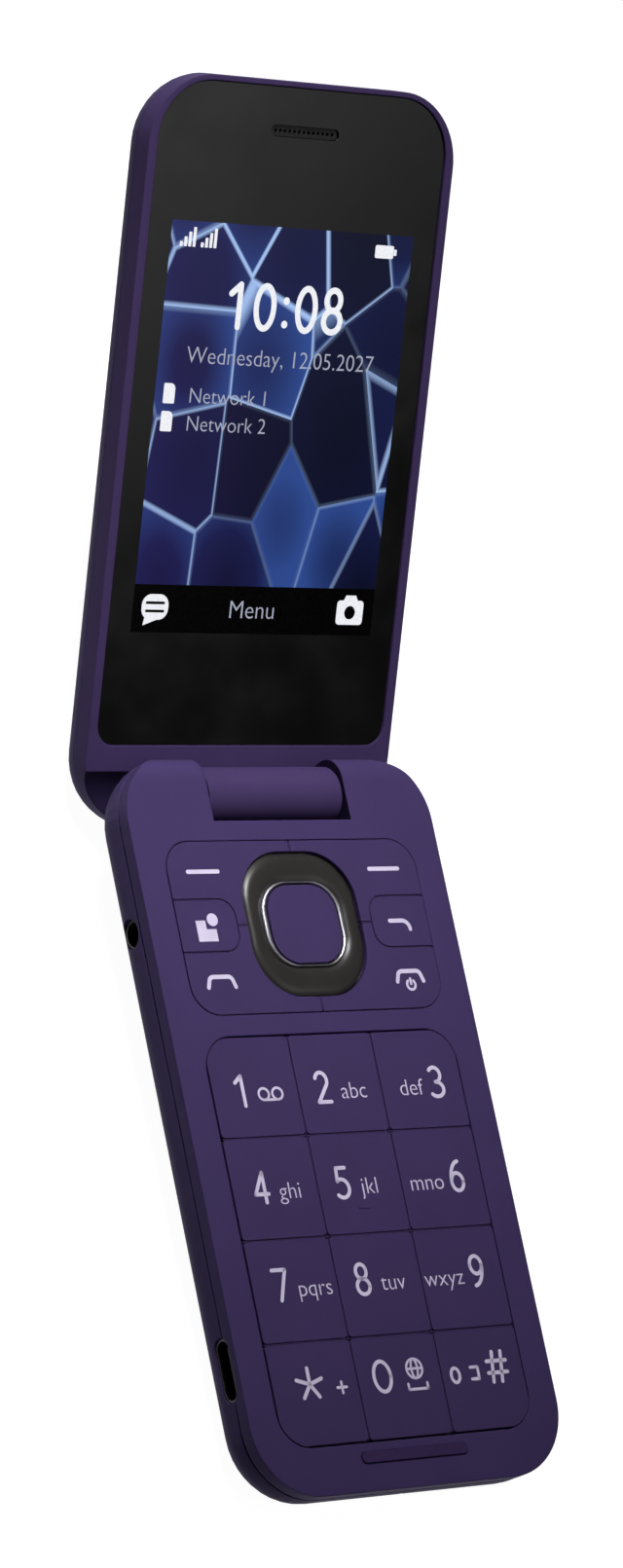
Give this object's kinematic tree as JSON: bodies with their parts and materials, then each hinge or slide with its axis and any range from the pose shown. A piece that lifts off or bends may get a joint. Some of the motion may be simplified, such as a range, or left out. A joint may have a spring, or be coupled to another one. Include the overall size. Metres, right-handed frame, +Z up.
{
  "type": "flip phone",
  "caption": "Folding keypad phone standing open: lid with a tall display on a barrel hinge, sprung number keys and a rocking navigation ring.",
  "frame": {"origin": "middle of the phone's footprint on the table, with the lid at its open stop", "axes": "+X to the phone's right, along the hinge; +Y from the keypad's free end to the lid's free end; +Z up"},
  "size_m": [0.0554, 0.1946, 0.0638],
  "materials": {
    "purple_paint": "satin",
    "purple_keys": "satin",
    "dark_shell": "gloss",
    "ring_black": "satin",
    "trim_chrome": "polished",
    "window_black": "gloss",
    "screen_glass": "gloss",
    "outer_screen_glass": "gloss",
    "backlight_white": "satin",
    "steel": "brushed",
    "black_plastic": "matte",
    "bumper_rubber": "matte",
    "mat_rubber": "matte",
    "board_green": "satin",
    "flex_amber": "satin",
    "contact_gold": "polished",
    "battery_case": "matte",
    "lens_glass": "gloss",
    "flash_diffuser": "gloss"
  },
  "bodies": {
    "base": {"front_cover": "purple_paint", "base_housing": "dark_shell", "rear_cover": "dark_shell", "battery": "battery_case", "battery_contacts": "contact_gold", "main_board": "board_green", "shield": "steel", "keypad_flex": "flex_amber", "keypad_mat": "mat_rubber", "usb_socket": "steel", "headset_jack": "black_plastic", "sim_holder": "steel", "loudspeaker": "black_plastic", "vibration_motor": "steel", "microphone": "steel", "antenna": "contact_gold", "base_screws": "steel", "closing_bumper": "bumper_rubber", "hinge_shaft": "steel", "pivot_pin": "steel"},
    "lid": {"lid_frame": "purple_paint", "lid_cover": "dark_shell", "display_window": "window_black", "display_panel": "screen_glass", "backlight": "backlight_white", "earpiece": "black_plastic", "earpiece_mesh": "black_plastic", "lid_board": "board_green", "outer_window": "window_black", "outer_display": "outer_screen_glass", "camera_module": "black_plastic", "camera_lens": "lens_glass", "flash_lens": "flash_diffuser", "lid_screws": "steel", "hinge_can": "steel", "hinge_spring": "steel", "hinge_flex": "flex_amber"},
    "key_1": {"key_1": "purple_keys"},
    "key_2": {"key_2": "purple_keys"},
    "key_3": {"key_3": "purple_keys"},
    "key_4": {"key_4": "purple_keys"},
    "key_5": {"key_5": "purple_keys"},
    "key_6": {"key_6": "purple_keys"},
    "key_7": {"key_7": "purple_keys"},
    "key_8": {"key_8": "purple_keys"},
    "key_9": {"key_9": "purple_keys"},
    "key_star": {"key_star": "purple_keys"},
    "key_0": {"key_0": "purple_keys"},
    "key_hash": {"key_hash": "purple_keys"},
    "soft_key_left": {"soft_key_left": "purple_keys"},
    "soft_key_right": {"soft_key_right": "purple_keys"},
    "shortcut_key": {"shortcut_key": "purple_keys"},
    "back_key": {"back_key": "purple_keys"},
    "call_key": {"call_key": "purple_keys"},
    "end_key": {"end_key": "purple_keys"},
    "ok_key": {"ok_key": "purple_keys"},
    "nav_web": {"nav_web": "steel"},
    "nav_ring": {"nav_ring": "ring_black", "nav_trim": "trim_chrome"},
    "volume_key": {"volume_key": "dark_shell"}
  },
  "joints": [
    {"name": "lid_hinge", "type": "hinge", "parent": "base", "child": "lid", "pos_m": [0, 0.00579, 0.01205], "axis": [1, 0, 0], "range_deg": [0, 151]},
    {"name": "key_1_press", "type": "slide", "parent": "base", "child": "key_1", "axis": [0, 0.0699, -0.9976], "range_m": [0, 0.00025], "stiffness_N_per_m": 200},
    {"name": "key_2_press", "type": "slide", "parent": "base", "child": "key_2", "axis": [0, 0.0699, -0.9976], "range_m": [0, 0.00025], "stiffness_N_per_m": 200},
    {"name": "key_3_press", "type": "slide", "parent": "base", "child": "key_3", "axis": [0, 0.0699, -0.9976], "range_m": [0, 0.00025], "stiffness_N_per_m": 200},
    {"name": "key_4_press", "type": "slide", "parent": "base", "child": "key_4", "axis": [0, 0.0699, -0.9976], "range_m": [0, 0.00025], "stiffness_N_per_m": 200},
    {"name": "key_5_press", "type": "slide", "parent": "base", "child": "key_5", "axis": [0, 0.0699, -0.9976], "range_m": [0, 0.00025], "stiffness_N_per_m": 200},
    {"name": "key_6_press", "type": "slide", "parent": "base", "child": "key_6", "axis": [0, 0.0699, -0.9976], "range_m": [0, 0.00025], "stiffness_N_per_m": 200},
    {"name": "key_7_press", "type": "slide", "parent": "base", "child": "key_7", "axis": [0, 0.0699, -0.9976], "range_m": [0, 0.00025], "stiffness_N_per_m": 200},
    {"name": "key_8_press", "type": "slide", "parent": "base", "child": "key_8", "axis": [0, 0.0699, -0.9976], "range_m": [0, 0.00025], "stiffness_N_per_m": 200},
    {"name": "key_9_press", "type": "slide", "parent": "base", "child": "key_9", "axis": [0, 0.0699, -0.9976], "range_m": [0, 0.00025], "stiffness_N_per_m": 200},
    {"name": "key_star_press", "type": "slide", "parent": "base", "child": "key_star", "axis": [0, 0.0699, -0.9976], "range_m": [0, 0.00025], "stiffness_N_per_m": 200},
    {"name": "key_0_press", "type": "slide", "parent": "base", "child": "key_0", "axis": [0, 0.0699, -0.9976], "range_m": [0, 0.00025], "stiffness_N_per_m": 200},
    {"name": "key_hash_press", "type": "slide", "parent": "base", "child": "key_hash", "axis": [0, 0.0699, -0.9976], "range_m": [0, 0.00025], "stiffness_N_per_m": 200},
    {"name": "soft_key_left_press", "type": "slide", "parent": "base", "child": "soft_key_left", "axis": [0, 0.0699, -0.9976], "range_m": [0, 0.00025], "stiffness_N_per_m": 200},
    {"name": "soft_key_right_press", "type": "slide", "parent": "base", "child": "soft_key_right", "axis": [0, 0.0699, -0.9976], "range_m": [0, 0.00025], "stiffness_N_per_m": 200},
    {"name": "shortcut_key_press", "type": "slide", "parent": "base", "child": "shortcut_key", "axis": [0, 0.0699, -0.9976], "range_m": [0, 0.00025], "stiffness_N_per_m": 200},
    {"name": "back_key_press", "type": "slide", "parent": "base", "child": "back_key", "axis": [0, 0.0699, -0.9976], "range_m": [0, 0.00025], "stiffness_N_per_m": 200},
    {"name": "call_key_press", "type": "slide", "parent": "base", "child": "call_key", "axis": [0, 0.0699, -0.9976], "range_m": [0, 0.00025], "stiffness_N_per_m": 200},
    {"name": "end_key_press", "type": "slide", "parent": "base", "child": "end_key", "axis": [0, 0.0699, -0.9976], "range_m": [0, 0.00025], "stiffness_N_per_m": 200},
    {"name": "ok_key_press", "type": "slide", "parent": "base", "child": "ok_key", "axis": [0, 0.0699, -0.9976], "range_m": [0, 0.00025], "stiffness_N_per_m": 200},
    {"name": "nav_rock_up_down", "type": "hinge", "parent": "base", "child": "nav_web", "pos_m": [0, -0.01506, 0.015], "axis": [1, 0, 0], "range_deg": [-1, 1], "stiffness_Nm_per_rad": 0.2},
    {"name": "nav_rock_left_right", "type": "hinge", "parent": "nav_web", "child": "nav_ring", "pos_m": [0, -0.01506, 0.015], "axis": [0, 0.9976, 0.0699], "range_deg": [-1, 1], "stiffness_Nm_per_rad": 0.2},
    {"name": "volume_press", "type": "slide", "parent": "base", "child": "volume_key", "axis": [-1, 0, 0], "range_m": [0, 0.0003], "stiffness_N_per_m": 200}
  ]
}
